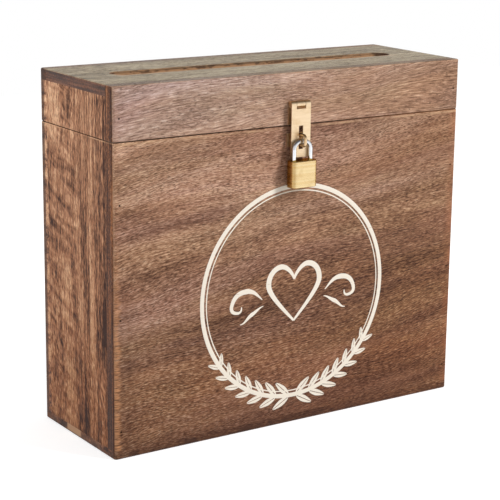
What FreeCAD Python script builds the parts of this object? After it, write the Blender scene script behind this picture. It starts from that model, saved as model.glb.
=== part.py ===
"""Lockable wooden card box: hinged lid with a card slot, brass hasp and small padlock.

Millimetres, +Z up. The origin is on the floor under the middle of the box and the front
faces -Y. Depths inside the padlock are measured down from the top of its case.
"""

import FreeCAD
import Part
import math
import os

from FreeCAD import Vector

# Wooden box and lid
box_width = 300.0
box_depth = 106.0
box_height = 262.0
lid_height = 38.0
front_board = 10.0
side_board = 10.0
top_board = 8.0
base_board = 6.0
corner_radius = 2.5
edge_radius = 1.0
card_slot_length = 243.0
card_slot_width = 18.0
card_slot_ease = 0.8

# Brads at the corners
brad_radius = 0.7
brad_length = 24.0
brad_sink = 1.0
brad_lowest = 20.0
brad_highest_drop = 43.0
brad_rows = 3
lid_brad_rise = 16.0

# Countersunk screws
screw_head_radius = 2.1
screw_head_height = 1.1
screw_shank_radius = 1.1
screw_length = 8.5

# Butt hinges on the back
hinge_length = 30.0
hinge_reach = 13.0
hinge_sheet = 1.2
hinge_pin_radius = 1.0
hinge_inset = 55.0
hinge_middle_knuckle = 11.0
hinge_screw_row = 8.0
hinge_screw_spacing = 18.0

# Hasp: hinge plate on the lid, strap, staple on the box
hasp_width = 16.6
hasp_sheet = 1.0
hasp_pin_radius = 1.3
hasp_middle_knuckle = 7.5
hasp_axis_rise = 15.5
hasp_plate_gap = 0.4
hasp_window_drop = 3.3
hasp_screw_drop = 9.0
hasp_screw_spacing = 9.0
strap_end_margin = 5.9
strap_corner_radius = 1.6
strap_slot_side = 0.6
strap_slot_above = 5.4
strap_slot_below = 1.6
staple_wire_radius = 1.2
staple_eye_height = 5.0
staple_bend_radius = 2.4
staple_drop = 10.2
staple_front_room = 0.9
staple_in_wood = 6.0
staple_plate_width = 18.4
staple_plate_height = 10.0
staple_plate_sheet = 1.2
staple_screw_spacing = 10.4

# Padlock
case_width = 22.0
case_thickness = 10.5
case_edge_radius = 4.2
case_rim_radius = 0.5
case_floor = 3.6
case_below_strap = 1.8
case_back_gap = 1.0
shackle_radius = 1.6
shackle_leg_spacing = 14.2
shackle_bend_radius = 5.5
shackle_strap_gap = 0.3
shackle_hang_gap = 0.1
shackle_tip_chamfer = 0.3
short_leg_tip = 0.6
short_leg_rise = 0.6
long_leg_tip = 1.6
leg_end_gap = 0.4
notch_depth = 1.0
notch_play = 0.1
bolt_depth = 3.1
bolt_height = 2.4
bolt_body_length = 4.4
bolt_nose_width = 2.4
bolt_draw_per_rise = 0.5
bolt_clearance = 0.1
spring_radius = 1.1
spring_wire = 0.35
spring_solid_length = 1.7
plug_radius = 4.3
plug_gap = 0.3
keyway_width = 1.1
keyway_height = 5.6
keyway_depth = 8.0
cam_pin_radius = 0.7
cam_pin_room = 0.3
cam_start_angle = 45.0
retainer_radius = 0.6
retainer_wall = 0.4
retainer_front_cover = 2.0
retainer_groove_play = 0.15
plug_groove_drop = 7.0

# Fits
running_clearance = 0.05
knuckle_end_gap = 0.3
knuckle_relief = 0.3
hinge_stand_off = 0.15

# Length that a cutting tool runs past the face it enters
overrun = 1.0

X = Vector(1, 0, 0)
Y = Vector(0, 1, 0)
Z = Vector(0, 0, 1)

# Main planes
right = box_width / 2
left = -right
back = box_depth / 2
front = -back
top = box_height
seam = box_height - lid_height
inner_front = front + front_board
inner_back = back - front_board

# Hinge and hasp axes
hinge_bore = hinge_pin_radius + running_clearance
hinge_outer = hinge_bore + hinge_sheet
hinge_axis_y = back + hinge_stand_off + hinge_outer
hinge_centres = {"left": left + hinge_inset, "right": right - hinge_inset}
hasp_bore = hasp_pin_radius + running_clearance
hasp_outer = hasp_bore + hasp_sheet
hasp_axis_y = front - hinge_stand_off - hasp_outer
hasp_axis_z = seam + hasp_axis_rise
strap_front = hasp_axis_y - hasp_outer
strap_back = strap_front + hasp_sheet

# Staple, and the strap's slot that passes over it
staple_z = seam - staple_drop
staple_leg_z = staple_eye_height / 2 + staple_wire_radius
staple_top = staple_z + staple_leg_z + staple_wire_radius
staple_bottom = staple_z - staple_leg_z - staple_wire_radius
strap_slot_top = staple_top + strap_slot_above
strap_slot_bottom = staple_bottom - strap_slot_below
strap_slot_half = staple_wire_radius + strap_slot_side
strap_end = strap_slot_bottom - strap_end_margin

# Shackle, hanging in the staple in front of the strap
shackle_off_strap = strap_front - shackle_strap_gap - shackle_radius
shackle_off_wall = front - case_back_gap - case_thickness / 2
shackle_y = min(shackle_off_strap, shackle_off_wall)
shackle_bow_z = staple_z - staple_eye_height / 2 + shackle_hang_gap + shackle_radius
staple_tip_y = shackle_y - shackle_radius - staple_front_room - 2 * staple_wire_radius
leg_x = shackle_leg_spacing / 2
leg_bore = shackle_radius + running_clearance

# Lock inside the case
case_top = strap_end - case_below_strap
notch_bottom_depth = bolt_depth + bolt_height / 2 + notch_play
notch_ramp = notch_depth / bolt_draw_per_rise
short_leg_depth = notch_bottom_depth + notch_ramp + short_leg_tip
shackle_rise = short_leg_depth + short_leg_rise
bolt_draw = shackle_rise * bolt_draw_per_rise
bolt_bottom_depth = bolt_depth + bolt_height / 2 + bolt_clearance
retainer_depth = bolt_bottom_depth + retainer_wall + retainer_radius
groove_top_depth = retainer_depth - retainer_radius - retainer_groove_play
groove_bottom_depth = retainer_depth + shackle_rise + retainer_radius + retainer_groove_play
long_leg_depth = groove_bottom_depth + long_leg_tip
case_height = long_leg_depth + leg_end_gap + case_floor
case_bottom = case_top - case_height
case_back = shackle_y + case_thickness / 2
leg_inner_x = leg_x - shackle_radius
bolt_tip_x = leg_inner_x + notch_depth - bolt_clearance
bolt_shoulder_x = leg_x - leg_bore - running_clearance - retainer_wall
bolt_back_x = bolt_shoulder_x - bolt_body_length
cam_radius = bolt_draw / (2 * math.cos(math.radians(cam_start_angle)))
cam_x = cam_radius * math.cos(math.radians(cam_start_angle))
cam_y = cam_radius * math.sin(math.radians(cam_start_angle))
bolt_half_width = cam_radius + cam_pin_radius
chamber_back_x = bolt_back_x - bolt_draw - spring_solid_length
plug_top_depth = bolt_bottom_depth + plug_gap
plug_groove_depth = plug_top_depth + plug_groove_drop
plug_bore = plug_radius + running_clearance


def block(x0, x1, y0, y1, z0, z1):
    """A square block between the given limits."""
    return Part.makeBox(x1 - x0, y1 - y0, z1 - z0, Vector(x0, y0, z0))


def rod(radius, start, direction, length):
    """A round bar from a point along a direction."""
    return Part.makeCylinder(radius, length, start, direction)


def cut_all(shape, tools):
    """The shape with every tool taken out of it."""
    for tool in tools:
        shape = shape.cut(tool)
    return shape


def edges_along(shape, direction):
    """Straight edges of a shape that run along a direction."""
    found = []
    for edge in shape.Edges:
        ends = edge.Vertexes
        if len(ends) == 2 and isinstance(edge.Curve, Part.Line):
            run = ends[1].Point - ends[0].Point
            if run.cross(direction).Length < 1e-6:
                found.append(edge)
    return found


def bent_wire(points, bend_radius, wire_radius):
    """Round wire along straight runs joined by tangent arcs of one radius."""
    path = []
    start = points[0]
    for before, corner, after in zip(points, points[1:], points[2:]):
        to_before = (before - corner).normalize()
        to_after = (after - corner).normalize()
        half_turn = (math.pi - to_before.getAngle(to_after)) / 2
        setback = bend_radius * math.tan(half_turn)
        first = corner + to_before * setback
        last = corner + to_after * setback
        inward = (to_before + to_after).normalize()
        middle = corner + inward * (bend_radius / math.cos(half_turn) - bend_radius)
        path.append(Part.LineSegment(start, first).toShape())
        path.append(Part.Arc(first, middle, last).toShape())
        start = last
    path.append(Part.LineSegment(start, points[-1]).toShape())
    section = Part.Wire(Part.Circle(points[0], points[1] - points[0], wire_radius).toShape())
    return Part.Wire(path).makePipeShell([section], True, False)


def eased_form(bottom, height):
    """Outer form of the box or the lid, with round corners and eased rims."""
    form = block(left, right, front, back, bottom, height)
    form = form.makeFillet(corner_radius, edges_along(form, Z))
    rims = [e for e in form.Edges if e.BoundBox.ZLength < 1e-6]
    return form.makeFillet(edge_radius, rims)


def brad_places(heights):
    """Where brads enter: points on the front and back faces, with the way in."""
    places = []
    for x in (left + side_board / 2, right - side_board / 2):
        for face, inward in ((front, 1), (back, -1)):
            places += [(Vector(x, face, z), Vector(0, inward, 0)) for z in heights]
    return places


def brad(point, inward):
    """One brad, set below the face."""
    return rod(brad_radius, point + inward * brad_sink, inward, brad_length)


def brad_hole(point, inward):
    """The hole that a brad leaves, from the face to the brad's tip."""
    depth = overrun + brad_sink + brad_length
    return rod(brad_radius, point - inward * overrun, inward, depth)


def screw(point, inward):
    """One countersunk screw with its head flush at the point."""
    head = Part.makeCone(screw_head_radius, screw_shank_radius, screw_head_height, point, inward)
    shank = rod(screw_shank_radius, point, inward, screw_length)
    return head.fuse(shank).removeSplitter()


def hinge_screws(up):
    """Screws of the two upper or the two lower hinge leaves."""
    face = back + hinge_sheet
    height = seam + up * hinge_screw_row
    return [
        screw(Vector(x + side * hinge_screw_spacing / 2, face, height), -Y)
        for x in hinge_centres.values()
        for side in (-1, 1)
    ]


def hasp_screws():
    """Screws of the hasp's hinge plate."""
    height = hasp_axis_z - hasp_screw_drop
    face = front - hasp_sheet
    half = hasp_screw_spacing / 2
    return [screw(Vector(x, face, height), Y) for x in (-half, half)]


def staple_screws():
    """Screws of the staple's plate."""
    face = front - staple_plate_sheet
    half = staple_screw_spacing / 2
    return [screw(Vector(x, face, staple_z), Y) for x in (-half, half)]


def staple_loop():
    """Wire loop of the staple: two legs driven into the front and the eye between them."""
    root_y = front + staple_in_wood
    low = staple_z - staple_leg_z
    high = staple_z + staple_leg_z
    tip_y = staple_tip_y + staple_wire_radius
    points = [Vector(0, root_y, low), Vector(0, tip_y, low)]
    points += [Vector(0, tip_y, high), Vector(0, root_y, high)]
    return bent_wire(points, staple_bend_radius, staple_wire_radius)


def staple_plate(fastenings):
    """Plate that the staple comes through."""
    half = staple_plate_width / 2
    rise = staple_plate_height / 2
    face = front - staple_plate_sheet
    plate = block(-half, half, face, front, staple_z - rise, staple_z + rise)
    return cut_all(plate, fastenings)


def hinge_leaf(centre, up, spans, bore_radius, other_spans, screws):
    """One butt hinge leaf: a flat sheet rolled round the pin at its own knuckles."""
    half = hinge_length / 2
    edges = sorted((seam, seam + up * hinge_reach))
    leaf = block(centre - half, centre + half, back, back + hinge_sheet, *edges)
    relief = hinge_outer + knuckle_relief
    for x0, x1 in other_spans:
        low, high = x0 - knuckle_end_gap, x1 + knuckle_end_gap
        leaf = leaf.cut(block(low, high, front, hinge_axis_y, seam - relief, seam + relief))
    for x0, x1 in spans:
        leaf = leaf.fuse(rod(hinge_outer, Vector(x0, hinge_axis_y, seam), X, x1 - x0))
    bore = rod(bore_radius, Vector(centre - half, hinge_axis_y, seam), X, hinge_length)
    return cut_all(leaf.cut(bore).removeSplitter(), screws)


def butt_hinge(centre, box_screws, lid_screws):
    """Box leaf, lid leaf and pin of one hinge. The pin is fixed in the box leaf."""
    half = hinge_length / 2
    middle = hinge_middle_knuckle / 2
    inner = (centre - middle, centre + middle)
    outer = (
        (centre - half, inner[0] - knuckle_end_gap),
        (inner[1] + knuckle_end_gap, centre + half),
    )
    box_leaf = hinge_leaf(centre, -1, outer, hinge_pin_radius, (inner,), box_screws)
    lid_leaf = hinge_leaf(centre, 1, (inner,), hinge_bore, outer, lid_screws)
    pin = rod(hinge_pin_radius, Vector(centre - half, hinge_axis_y, seam), X, hinge_length)
    return box_leaf, lid_leaf, pin


def hasp_plate(screws):
    """Hinge plate of the hasp, rolled into one knuckle in the middle of its top edge."""
    half = hasp_width / 2
    middle = hasp_middle_knuckle / 2
    low = seam + hasp_plate_gap
    plate = block(-half, half, front - hasp_sheet, front, low, hasp_axis_z)
    relief = hasp_axis_z - hasp_outer - knuckle_relief
    for x0, x1 in ((-half, -middle), (middle, half)):
        plate = plate.cut(block(x0, x1, hasp_axis_y, front, relief, hasp_axis_z))
    plate = plate.fuse(rod(hasp_outer, Vector(-middle, hasp_axis_y, hasp_axis_z), X, 2 * middle))
    plate = plate.cut(rod(hasp_pin_radius, Vector(-middle, hasp_axis_y, hasp_axis_z), X, 2 * middle))
    return cut_all(plate.removeSplitter(), screws)


def hasp_strap():
    """Slotted strap, rolled into a knuckle at each side of the plate's knuckle."""
    half = hasp_width / 2
    window = hasp_middle_knuckle / 2 + knuckle_end_gap
    strap = block(-half, half, strap_front, strap_back, strap_end, hasp_axis_z)
    low_corners = [e for e in edges_along(strap, Y) if e.BoundBox.ZMax < hasp_axis_z]
    strap = strap.makeFillet(strap_corner_radius, low_corners)
    for x0, x1 in ((-half, -window), (window, half)):
        strap = strap.fuse(rod(hasp_outer, Vector(x0, hasp_axis_y, hasp_axis_z), X, x1 - x0))
    strap = strap.cut(rod(hasp_bore, Vector(-half, hasp_axis_y, hasp_axis_z), X, hasp_width))
    window_low = hasp_axis_z - hasp_window_drop
    strap = strap.cut(block(-window, window, strap_front, strap_back, window_low, hasp_axis_z))
    slot = block(
        -strap_slot_half, strap_slot_half, strap_front, strap_back, strap_slot_bottom, strap_slot_top
    )
    return strap.cut(slot).removeSplitter()


def card_slot():
    """Cutter of the card slot: a long hole with round ends through the top board."""
    half = card_slot_width / 2
    reach = card_slot_length / 2 - half
    low = top - top_board - overrun
    high = top + overrun
    cutter = block(-reach, reach, -half, half, low, high)
    for x in (-reach, reach):
        cutter = cutter.fuse(rod(half, Vector(x, 0, low), Z, high - low))
    return cutter.removeSplitter()


def lid_top_board(form):
    """Top board with the card slot, its upper rim eased."""
    board = form.common(block(left, right, inner_front, inner_back, top - top_board, top))
    board = board.cut(card_slot())
    rim = [
        e
        for e in board.Edges
        if e.BoundBox.ZMin > top - 1e-3
        and e.BoundBox.YLength < card_slot_width + 1e-3
        and abs(e.CenterOfMass.y) < card_slot_width / 2 + 1e-3
        and abs(e.CenterOfMass.x) < card_slot_length / 2
    ]
    return board.makeFillet(card_slot_ease, rim)


def padlock_shackle():
    """Bow with a long leg at the left and a short, notched leg at the right."""
    bow = [
        Vector(-leg_x, shackle_y, case_top - long_leg_depth),
        Vector(-leg_x, shackle_y, shackle_bow_z),
        Vector(leg_x, shackle_y, shackle_bow_z),
        Vector(leg_x, shackle_y, case_top - short_leg_depth),
    ]
    shackle = bent_wire(bow, shackle_bend_radius, shackle_radius)
    tips = [e for e in shackle.Edges if e.BoundBox.ZLength < 1e-6 and e.BoundBox.ZMax < case_top]
    shackle = shackle.makeChamfer(shackle_tip_chamfer, tips)
    deep_x = leg_inner_x + notch_depth
    clear_x = leg_inner_x - overrun
    notch_top = case_top - bolt_depth + bolt_height / 2 + notch_play
    notch_bottom = case_top - notch_bottom_depth
    outline = [
        Vector(clear_x, front, notch_top),
        Vector(deep_x, front, notch_top),
        Vector(deep_x, front, notch_bottom),
        Vector(leg_inner_x, front, notch_bottom - notch_ramp),
        Vector(clear_x, front, notch_bottom - notch_ramp),
        Vector(clear_x, front, notch_top),
    ]
    depth = Vector(0, 2 * (shackle_y - front), 0)
    notch = Part.Face(Part.makePolygon(outline)).extrude(depth)
    groove_x = -leg_x + shackle_radius - retainer_radius - retainer_groove_play
    groove = block(
        groove_x, -leg_x + shackle_radius + overrun,
        shackle_y - 2 * shackle_radius, shackle_y + 2 * shackle_radius,
        case_top - groove_bottom_depth, case_top - groove_top_depth,
    )
    return shackle.cut(notch).cut(groove)


def padlock_pins():
    """Pins across the case that keep the long leg and the plug in it."""
    length = case_thickness - retainer_front_cover
    places = (
        (-leg_x + shackle_radius, case_top - retainer_depth),
        (-plug_bore, case_top - plug_groove_depth),
    )
    return [rod(retainer_radius, Vector(x, case_back, z), -Y, length) for x, z in places]


def padlock_case(pins):
    """Case with bores for both legs, the plug and the pins, and the bolt's chamber."""
    half = case_width / 2
    case_front = case_back - case_thickness
    case = block(-half, half, case_front, case_back, case_bottom, case_top)
    case = case.makeFillet(case_edge_radius, edges_along(case, Z))
    rims = [e for e in case.Edges if e.BoundBox.ZLength < 1e-6]
    case = case.makeFillet(case_rim_radius, rims)
    long_depth = long_leg_depth + leg_end_gap
    short_depth = short_leg_depth + leg_end_gap
    chamber_half = bolt_half_width + bolt_clearance
    nose_half = bolt_nose_width / 2 + bolt_clearance
    roof = case_top - bolt_depth + bolt_height / 2 + bolt_clearance
    floor = case_top - bolt_bottom_depth
    plug_room = case_height - bolt_bottom_depth
    tools = [
        rod(leg_bore, Vector(-leg_x, shackle_y, case_top), -Z, long_depth),
        rod(leg_bore, Vector(leg_x, shackle_y, case_top), -Z, short_depth),
        rod(plug_bore, Vector(0, shackle_y, case_bottom), Z, plug_room),
        block(
            chamber_back_x, bolt_shoulder_x + bolt_clearance,
            shackle_y - chamber_half, shackle_y + chamber_half, floor, roof,
        ),
        block(bolt_shoulder_x, leg_x, shackle_y - nose_half, shackle_y + nose_half, floor, roof),
    ]
    return cut_all(case, tools + pins)


def locking_bolt():
    """Flat bolt with a nose for the notch and a side slot for the plug's cam pin."""
    low = case_top - bolt_depth - bolt_height / 2
    high = low + bolt_height
    nose = bolt_nose_width / 2
    body = block(
        bolt_back_x, bolt_shoulder_x, shackle_y - bolt_half_width, shackle_y + bolt_half_width, low, high
    )
    body = body.fuse(
        block(bolt_shoulder_x, bolt_tip_x, shackle_y - nose, shackle_y + nose, low, high)
    )
    room = cam_pin_radius + cam_pin_room
    slot = block(
        cam_x - room, cam_x + room, shackle_y + cam_y - room, shackle_y + bolt_half_width, low, high
    )
    return body.cut(slot).removeSplitter()


def bolt_spring():
    """Spring behind the bolt, as a sleeve of its outer and inner size."""
    centre = Vector(chamber_back_x, shackle_y, case_top - bolt_depth)
    length = bolt_back_x - chamber_back_x
    sleeve = rod(spring_radius, centre, X, length)
    return sleeve.cut(rod(spring_radius - spring_wire, centre, X, length))


def key_plug():
    """Turning plug with a keyway below, a retaining groove and the cam pin on top."""
    length = case_height - plug_top_depth
    plug = rod(plug_radius, Vector(0, shackle_y, case_bottom), Z, length)
    half_width = keyway_width / 2
    half_height = keyway_height / 2
    keyway = block(
        -half_width, half_width, shackle_y - half_height, shackle_y + half_height,
        case_bottom, case_bottom + keyway_depth,
    )
    groove_floor = plug_bore - retainer_radius - retainer_groove_play
    half_groove = retainer_radius + retainer_groove_play
    groove_start = Vector(0, shackle_y, case_top - plug_groove_depth - half_groove)
    groove = rod(plug_bore, groove_start, Z, 2 * half_groove)
    groove = groove.cut(rod(groove_floor, groove_start, Z, 2 * half_groove))
    cam_start = Vector(cam_x, shackle_y + cam_y, case_top - plug_top_depth)
    cam = rod(cam_pin_radius, cam_start, Z, plug_gap + bolt_height)
    return plug.cut(keyway).cut(groove).fuse(cam).removeSplitter()


def wooden_boards(brad_holes, lid_brad_holes):
    """The boards of the box and of the lid, by node name."""
    box_form = eased_form(0, seam)
    lid_form = eased_form(seam, top)
    lid_sides_top = top - top_board
    walls = {
        "front_panel": block(left, right, front, inner_front, base_board, seam),
        "back_panel": block(left, right, inner_back, back, base_board, seam),
        "left_panel": block(left, left + side_board, inner_front, inner_back, base_board, seam),
        "right_panel": block(right - side_board, right, inner_front, inner_back, base_board, seam),
    }
    lid_walls = {
        "lid_front_board": block(left, right, front, inner_front, seam, top),
        "lid_back_board": block(left, right, inner_back, back, seam, top),
        "lid_left_board": block(left, left + side_board, inner_front, inner_back, seam, lid_sides_top),
        "lid_right_board": block(right - side_board, right, inner_front, inner_back, seam, lid_sides_top),
    }
    boards = {name: cut_all(box_form.common(wall), brad_holes) for name, wall in walls.items()}
    boards["base_panel"] = box_form.common(block(left, right, front, back, 0, base_board))
    for name, wall in lid_walls.items():
        boards[name] = cut_all(lid_form.common(wall), lid_brad_holes)
    boards["lid_top_board"] = lid_top_board(lid_form)
    return boards


def card_box():
    """Every piece of the box, by node name."""
    brad_step = (seam - brad_highest_drop - brad_lowest) / (brad_rows - 1)
    brad_heights = [brad_lowest + brad_step * row for row in range(brad_rows)]
    box_places = brad_places(brad_heights)
    lid_places = brad_places([seam + lid_brad_rise])
    box_screws = hinge_screws(-1)
    lid_screws = hinge_screws(1)
    plate_screws = hasp_screws()
    loop = staple_loop()
    loop_screws = staple_screws()
    pins = padlock_pins()

    parts = wooden_boards(
        [brad_hole(*place) for place in box_places],
        [brad_hole(*place) for place in lid_places],
    )
    parts["front_panel"] = cut_all(parts["front_panel"], loop_screws + [loop])
    parts["back_panel"] = cut_all(parts["back_panel"], box_screws)
    parts["lid_front_board"] = cut_all(parts["lid_front_board"], plate_screws)
    parts["lid_back_board"] = cut_all(parts["lid_back_board"], lid_screws)
    parts["box_brads"] = Part.makeCompound([brad(*place) for place in box_places])
    parts["lid_brads"] = Part.makeCompound([brad(*place) for place in lid_places])
    parts["box_hinge_screws"] = Part.makeCompound(box_screws)
    parts["lid_hinge_screws"] = Part.makeCompound(lid_screws)
    for side, centre in hinge_centres.items():
        box_leaf, lid_leaf, pin = butt_hinge(centre, box_screws, lid_screws)
        parts[f"{side}_hinge_box_leaf"] = box_leaf
        parts[f"{side}_hinge_lid_leaf"] = lid_leaf
        parts[f"{side}_hinge_pin"] = pin
    parts["hasp_plate"] = hasp_plate(plate_screws)
    parts["hasp_screws"] = Part.makeCompound(plate_screws)
    hasp_pin_start = Vector(-hasp_width / 2, hasp_axis_y, hasp_axis_z)
    parts["hasp_pin"] = rod(hasp_pin_radius, hasp_pin_start, X, hasp_width)
    parts["hasp_strap"] = hasp_strap()
    parts["staple_plate"] = staple_plate(loop_screws + [loop])
    parts["staple_loop"] = loop
    parts["staple_screws"] = Part.makeCompound(loop_screws)
    parts["padlock_shackle"] = padlock_shackle()
    parts["padlock_case"] = padlock_case(pins)
    parts["padlock_pins"] = Part.makeCompound(pins)
    parts["locking_bolt"] = locking_bolt()
    parts["bolt_spring"] = bolt_spring()
    parts["key_plug"] = key_plug()
    return parts


os.makedirs("parts", exist_ok=True)
for node, piece in card_box().items():
    piece.exportStep(f"parts/{node}.step")
print("lid hinge axis", hinge_axis_y, seam)
print("hasp axis", hasp_axis_y, hasp_axis_z)
print("shackle axis", shackle_y, shackle_bow_z, "rise", shackle_rise, "bolt draw", bolt_draw)
print("case from", case_bottom, "to", case_top, "strap end", strap_end)
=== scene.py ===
"""Looks of the wooden card box: stained boards, brass hasp, padlock, printed front and studio."""

import logging
import math
from dataclasses import dataclass
from enum import Enum
from typing import Any, Optional, Sequence

import bpy
from mathutils import Matrix, Vector

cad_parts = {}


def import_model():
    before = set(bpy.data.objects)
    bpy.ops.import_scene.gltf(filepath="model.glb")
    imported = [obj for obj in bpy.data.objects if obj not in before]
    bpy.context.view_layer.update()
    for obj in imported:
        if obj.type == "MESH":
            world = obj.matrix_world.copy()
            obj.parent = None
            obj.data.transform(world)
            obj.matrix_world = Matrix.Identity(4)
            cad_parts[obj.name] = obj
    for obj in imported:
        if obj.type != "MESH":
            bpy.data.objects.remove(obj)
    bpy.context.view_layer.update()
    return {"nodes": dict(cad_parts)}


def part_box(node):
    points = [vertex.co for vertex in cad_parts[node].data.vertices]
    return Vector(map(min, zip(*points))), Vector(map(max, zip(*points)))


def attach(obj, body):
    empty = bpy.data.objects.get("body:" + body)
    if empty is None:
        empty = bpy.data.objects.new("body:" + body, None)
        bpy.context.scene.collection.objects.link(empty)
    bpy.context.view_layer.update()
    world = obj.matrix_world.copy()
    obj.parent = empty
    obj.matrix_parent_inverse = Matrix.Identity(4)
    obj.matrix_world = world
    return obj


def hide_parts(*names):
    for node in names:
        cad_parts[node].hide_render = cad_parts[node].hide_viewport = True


LOG = logging.getLogger("card_box")
MM = 0.001
IMAGE_SIDE = 500.0

Colour = tuple[float, float, float]


def tone(red: int, green: int, blue: int) -> Colour:
    """Linear colour of a display colour.

    Args:
        red: Red from 0 to 255.
        green: Green from 0 to 255.
        blue: Blue from 0 to 255.

    Returns:
        The three linear values that a node takes.
    """
    shares = (value / 255.0 for value in (red, green, blue))
    return tuple(s / 12.92 if s <= 0.04045 else ((s + 0.055) / 1.055) ** 2.4 for s in shares)


class Grain(Enum):
    """Which way the grain of a board runs."""

    ACROSS = "across"
    UPRIGHT = "upright"
    FLAT = "flat"


class NodeSheet:
    """A new material with short calls for the nodes that its finish needs."""

    def __init__(self, name: str) -> None:
        """Starts a material with its main shader.

        Args:
            name: The material's name.
        """
        self.material = bpy.data.materials.new(name)
        self.material.use_nodes = True
        tree = self.material.node_tree
        self.nodes = tree.nodes
        self.links = tree.links
        self.shader = next(n for n in tree.nodes if n.type == "BSDF_PRINCIPLED")
        coordinates = self.nodes.new("ShaderNodeTexCoord")
        self.point = coordinates.outputs["Object"]
        self.normal = coordinates.outputs["Normal"]

    def feed(self, socket: bpy.types.NodeSocket, value: Any) -> None:
        """Links a socket to an input, or writes a constant there.

        Args:
            socket: The input socket.
            value: An output socket, a number, a colour or a vector.
        """
        if isinstance(value, bpy.types.NodeSocket):
            self.links.new(value, socket)
        elif socket.type == "RGBA" and len(value) == 3:
            socket.default_value = (*value, 1.0)
        else:
            socket.default_value = value

    def calc(self, operation: str, first: Any, second: Any = 0.0, clamp: bool = False) -> bpy.types.NodeSocket:
        """One step of arithmetic.

        Args:
            operation: The Math node's operation.
            first: First value or socket.
            second: Second value or socket.
            clamp: Whether the result is kept between 0 and 1.

        Returns:
            The result's socket.
        """
        node = self.nodes.new("ShaderNodeMath")
        node.operation = operation
        node.use_clamp = clamp
        self.feed(node.inputs[0], first)
        self.feed(node.inputs[1], second)
        return node.outputs[0]

    def split(self, vector: bpy.types.NodeSocket) -> list[bpy.types.NodeSocket]:
        """The three parts of a vector.

        Args:
            vector: The vector's socket.

        Returns:
            Sockets of x, y and z.
        """
        node = self.nodes.new("ShaderNodeSeparateXYZ")
        self.feed(node.inputs[0], vector)
        return list(node.outputs)

    def join(self, x: Any, y: Any, z: Any) -> bpy.types.NodeSocket:
        """A vector from three values.

        Args:
            x: First value or socket.
            y: Second value or socket.
            z: Third value or socket.

        Returns:
            The vector's socket.
        """
        node = self.nodes.new("ShaderNodeCombineXYZ")
        for socket, value in zip(node.inputs, (x, y, z)):
            self.feed(socket, value)
        return node.outputs[0]

    def vector(self, operation: str, first: Any, second: Any) -> bpy.types.NodeSocket:
        """One step of vector arithmetic.

        Args:
            operation: The Vector Math node's operation.
            first: First vector.
            second: Second vector.

        Returns:
            The result's socket.
        """
        node = self.nodes.new("ShaderNodeVectorMath")
        node.operation = operation
        self.feed(node.inputs[0], first)
        self.feed(node.inputs[1], second)
        return node.outputs[0]

    def noise(
        self,
        vector: Any,
        frequency: Sequence[float],
        detail: float = 2.0,
        roughness: float = 0.5,
        distortion: float = 0.0,
    ) -> bpy.types.NodeSocket:
        """Noise with its own frequency along each axis.

        Args:
            vector: Where it is read.
            frequency: Waves per metre along the three axes.
            detail: Octaves of finer noise.
            roughness: Weight of the finer octaves.
            distortion: How far the noise is warped.

        Returns:
            Socket of a value from 0 to 1.
        """
        node = self.nodes.new("ShaderNodeTexNoise")
        self.feed(node.inputs["Vector"], self.vector("MULTIPLY", vector, frequency))
        node.inputs["Scale"].default_value = 1.0
        node.inputs["Detail"].default_value = detail
        node.inputs["Roughness"].default_value = roughness
        node.inputs["Distortion"].default_value = distortion
        return node.outputs[0]

    def between(self, value: Any, low: float, high: float, first: float = 0.0, last: float = 1.0) -> bpy.types.NodeSocket:
        """A smooth step from one value to another.

        Args:
            value: The socket that is compared.
            low: Where the step starts.
            high: Where the step ends.
            first: Result below the step.
            last: Result above the step.

        Returns:
            The result's socket.
        """
        node = self.nodes.new("ShaderNodeMapRange")
        node.interpolation_type = "SMOOTHSTEP"
        self.feed(node.inputs["Value"], value)
        limits = {"From Min": low, "From Max": high, "To Min": first, "To Max": last}
        for name, number in limits.items():
            node.inputs[name].default_value = number
        return node.outputs["Result"]

    def ramp(self, value: Any, stops: Sequence[tuple[float, Colour]]) -> bpy.types.NodeSocket:
        """Colours along a value.

        Args:
            value: The value's socket.
            stops: Places from 0 to 1 with their colours.

        Returns:
            The colour's socket.
        """
        node = self.nodes.new("ShaderNodeValToRGB")
        self.feed(node.inputs["Fac"], value)
        elements = node.color_ramp.elements
        while len(elements) < len(stops):
            elements.new(0.5)
        for element, (place, colour) in zip(elements, stops):
            element.position = place
            element.color = (*colour, 1.0)
        return node.outputs["Color"]

    def blend(self, share: Any, under: Any, over: Any, mode: str = "MIX") -> bpy.types.NodeSocket:
        """One colour laid over another.

        Args:
            share: How much of the upper colour shows.
            under: The lower colour.
            over: The upper colour.
            mode: The Mix node's blend type.

        Returns:
            The colour's socket.
        """
        node = self.nodes.new("ShaderNodeMix")
        node.data_type = "RGBA"
        node.blend_type = mode
        self.feed(node.inputs[0], share)
        self.feed(node.inputs[6], under)
        self.feed(node.inputs[7], over)
        return node.outputs[2]

    def relief(self, height: Any, strength: float, depth: float) -> None:
        """Gives the shader a fine relief.

        Args:
            height: Socket of the height, from 0 to 1.
            strength: Strength of the effect.
            depth: Height of the relief in metres.
        """
        node = self.nodes.new("ShaderNodeBump")
        node.inputs["Strength"].default_value = strength
        node.inputs["Distance"].default_value = depth
        self.feed(node.inputs["Height"], height)
        self.feed(self.shader.inputs["Normal"], node.outputs["Normal"])

    def set(self, **values: Any) -> None:
        """Writes or links inputs of the main shader.

        Args:
            **values: Input names with underscores for spaces, and their values.
        """
        for name, value in values.items():
            self.feed(self.shader.inputs[name.replace("_", " ")], value)


@dataclass(frozen=True)
class WoodTones:
    """Colours of one stained wood surface."""

    dark: Colour
    middle: Colour
    light: Colour
    pore: Colour


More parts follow.
